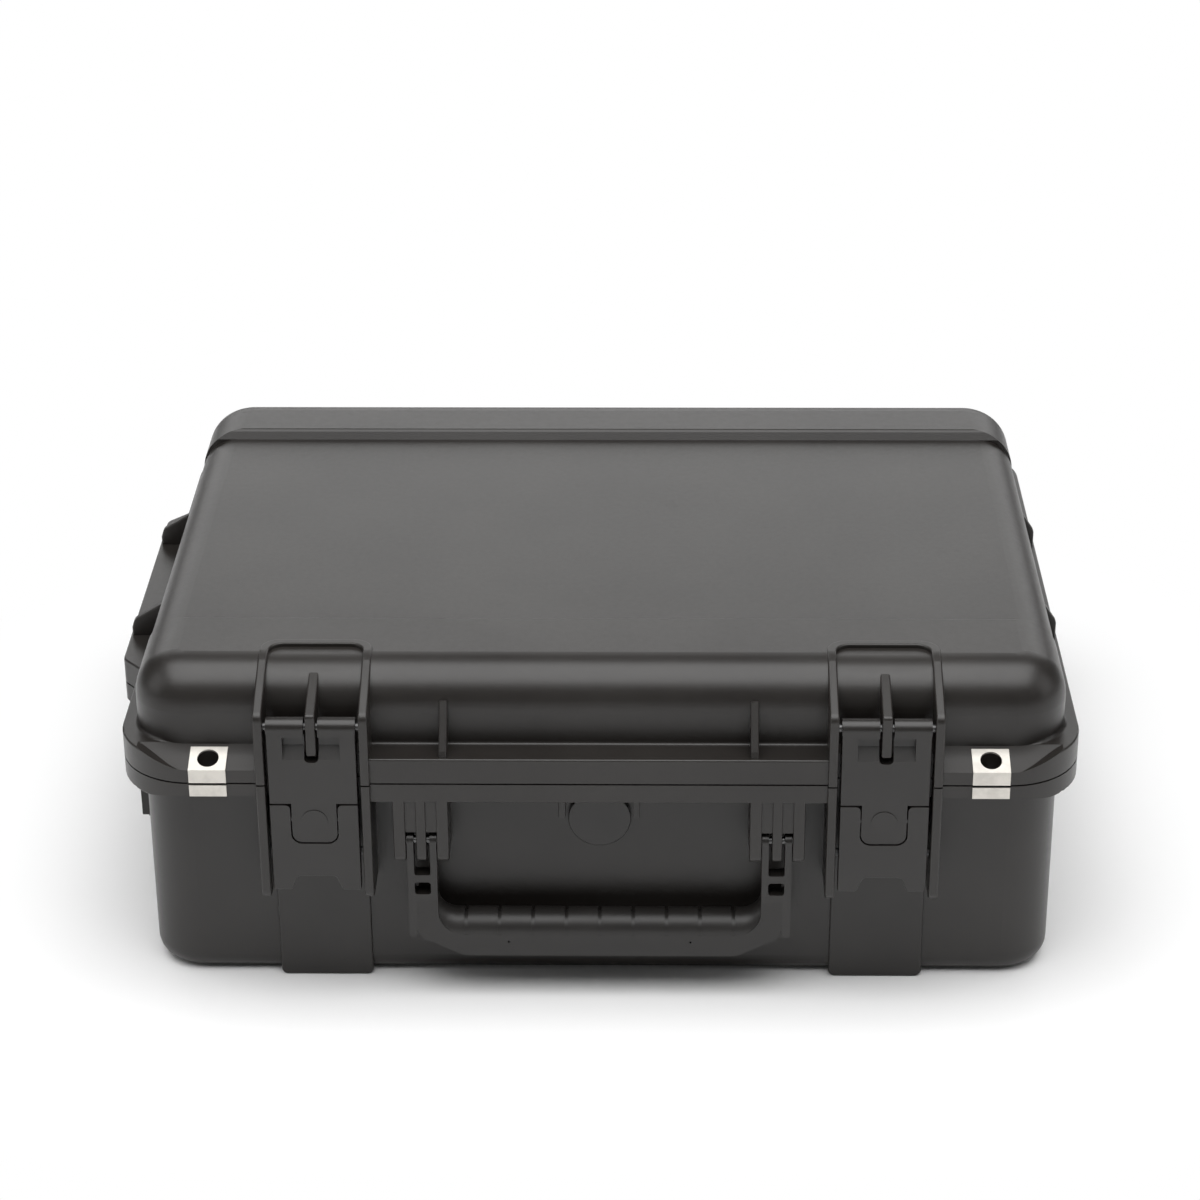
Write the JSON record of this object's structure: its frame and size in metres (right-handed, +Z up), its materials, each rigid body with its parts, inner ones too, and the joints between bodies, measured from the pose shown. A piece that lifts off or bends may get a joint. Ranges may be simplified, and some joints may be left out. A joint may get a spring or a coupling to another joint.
{
  "type": "guitar pedal case",
  "caption": "Hard moulded carrying case with a hinged lid, lever latches, fold-down handles, padlock corners and a foam nest that holds its pedalboard.",
  "frame": {"origin": "middle of the base's underside, on the floor the case stands on", "axes": "+X to the right along the latched front, -Y towards the front, +Z up"},
  "size_m": [0.5965, 0.473, 0.219],
  "materials": {
    "base_plastic": "fine-textured black moulded plastic",
    "lid_plastic": "fine-textured black moulded plastic",
    "latch_plastic": "satin black moulded plastic",
    "handle_plastic": "satin black moulded plastic",
    "grip_rubber": "soft matte black",
    "plate_steel": "bright brushed steel",
    "pin_steel": "blackened steel",
    "spring_steel": "plain spring wire",
    "gasket_rubber": "soft black foam rubber",
    "valve_plastic": "satin black moulded plastic",
    "base_foam": "closed-cell charcoal foam",
    "lid_foam": "open-cell charcoal foam",
    "board_plastic": "satin black structural plastic",
    "hook_fabric": "black hook-and-loop strip",
    "foot_rubber": "matte black rubber"
  },
  "bodies": {
    "base": {"base_shell": "base_plastic", "base_foam": "base_foam", "pedalboard_deck": "board_plastic", "pedalboard_hook_strips": "hook_fabric", "pedalboard_feet": "foot_rubber", "base_padlock_plates": "plate_steel", "latch_keeper_bars": "pin_steel", "front_handle_pins": "pin_steel", "side_handle_pins": "pin_steel", "hinge_pins": "pin_steel", "valve_cap": "valve_plastic", "valve_washer": "gasket_rubber", "valve_body": "valve_plastic", "valve_nut": "valve_plastic"},
    "lid": {"lid_shell": "lid_plastic", "lid_gasket": "gasket_rubber", "lid_foam": "lid_foam", "lid_padlock_plates": "plate_steel", "latch_pivot_pins": "pin_steel"},
    "latch_left": {"latch_arm_left": "latch_plastic", "trigger_pin_left": "pin_steel", "trigger_spring_left": "spring_steel"},
    "latch_right": {"latch_arm_right": "latch_plastic", "trigger_pin_right": "pin_steel", "trigger_spring_right": "spring_steel"},
    "trigger_left": {"latch_trigger_left": "latch_plastic"},
    "trigger_right": {"latch_trigger_right": "latch_plastic"},
    "front_handle": {"front_handle_frame": "handle_plastic", "front_handle_grip": "grip_rubber"},
    "side_handle": {"side_handle_frame": "handle_plastic", "side_handle_grip": "grip_rubber"}
  },
  "joints": [
    {"name": "lid_hinge", "type": "hinge", "parent": "base", "child": "lid", "pos_m": [0, 0.2275, 0.153], "axis": [-1, 0, 0], "range_deg": [0, 95]},
    {"name": "latch_left_swing", "type": "hinge", "parent": "lid", "child": "latch_left", "pos_m": [-0.1719, -0.232, 0.19], "axis": [-1, 0, 0], "range_deg": [0, 110]},
    {"name": "latch_right_swing", "type": "hinge", "parent": "lid", "child": "latch_right", "pos_m": [0.1719, -0.232, 0.19], "axis": [-1, 0, 0], "range_deg": [0, 110]},
    {"name": "trigger_left_pull", "type": "hinge", "parent": "latch_left", "child": "trigger_left", "pos_m": [-0.1719, -0.235, 0.128], "axis": [-1, 0, 0], "range_deg": [0, 16], "stiffness_Nm_per_rad": 0.3, "springref_deg": -17.19},
    {"name": "trigger_right_pull", "type": "hinge", "parent": "latch_right", "child": "trigger_right", "pos_m": [0.1719, -0.235, 0.128], "axis": [-1, 0, 0], "range_deg": [0, 16], "stiffness_Nm_per_rad": 0.3, "springref_deg": -17.19},
    {"name": "front_handle_swing", "type": "hinge", "parent": "base", "child": "front_handle", "pos_m": [0, -0.23, 0.111], "axis": [-1, 0, 0], "range_deg": [0, 90]},
    {"name": "side_handle_swing", "type": "hinge", "parent": "base", "child": "side_handle", "pos_m": [-0.2985, -0.003, 0.111], "axis": [0, 1, 0], "range_deg": [0, 90]}
  ]
}
